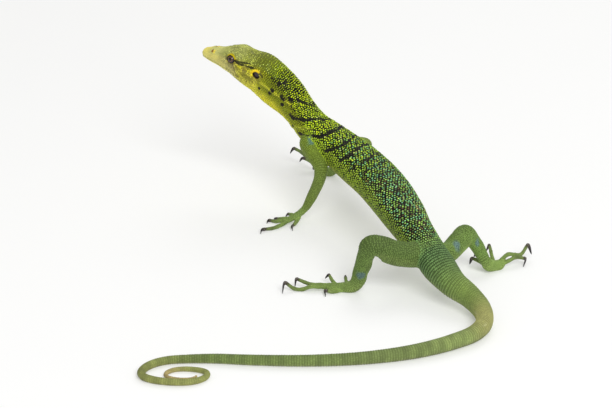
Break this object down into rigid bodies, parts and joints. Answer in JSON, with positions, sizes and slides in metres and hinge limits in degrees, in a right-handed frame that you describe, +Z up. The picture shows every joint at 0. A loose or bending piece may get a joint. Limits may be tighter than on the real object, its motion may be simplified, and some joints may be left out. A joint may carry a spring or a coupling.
{
  "type": "tree monitor lizard",
  "caption": "Slender green tree monitor lizard, life size, standing still with its head raised and turned, legs spread on the floor and the end of its long tail coiled flat.",
  "frame": {"origin": "on the floor, below the middle of the animal's outline", "axes": "+Z up; the trunk runs along Y with the head towards -Y and the tail towards +Y; the animal's left side, where its tail coils, is towards +X"},
  "size_m": [0.2962, 0.3048, 0.1067],
  "materials": {
    "skin_head": "small smooth scales, olive green with a pale yellow snout",
    "skin_neck": "bead scales, yellow-green",
    "skin_trunk": "bead scales, green and turquoise on black, with dark cross bands",
    "skin_tail": "ringed scales, olive green",
    "skin_limb": "small scales, green",
    "claw": "dark horn",
    "eye": "wet, dark brown with a black pupil",
    "eardrum": "dark membrane"
  },
  "bodies": {
    "root": {"head": "skin_head", "jaw": "skin_head", "eye_L": "eye", "eye_R": "eye", "ear_L": "eardrum", "ear_R": "eardrum", "neck": "skin_neck", "trunk_front": "skin_trunk", "trunk_rear": "skin_trunk", "tail_1": "skin_tail", "tail_2": "skin_tail", "tail_3": "skin_tail", "tail_4": "skin_tail", "tail_5": "skin_tail", "tail_6": "skin_tail", "upper_arm_L": "skin_limb", "forearm_L": "skin_limb", "hand_L": "skin_limb", "upper_arm_R": "skin_limb", "forearm_R": "skin_limb", "hand_R": "skin_limb", "thigh_L": "skin_limb", "shin_L": "skin_limb", "foot_L": "skin_limb", "thigh_R": "skin_limb", "shin_R": "skin_limb", "foot_R": "skin_limb", "claw_hand_L_1": "claw", "claw_hand_L_2": "claw", "claw_hand_L_3": "claw", "claw_hand_L_4": "claw", "claw_hand_L_5": "claw", "claw_hand_R_1": "claw", "claw_hand_R_2": "claw", "claw_hand_R_3": "claw", "claw_hand_R_4": "claw", "claw_hand_R_5": "claw", "claw_foot_L_1": "claw", "claw_foot_L_2": "claw", "claw_foot_L_3": "claw", "claw_foot_L_4": "claw", "claw_foot_L_5": "claw", "claw_foot_R_1": "claw", "claw_foot_R_2": "claw", "claw_foot_R_3": "claw", "claw_foot_R_4": "claw", "claw_foot_R_5": "claw"}
  },
  "joints": []
}
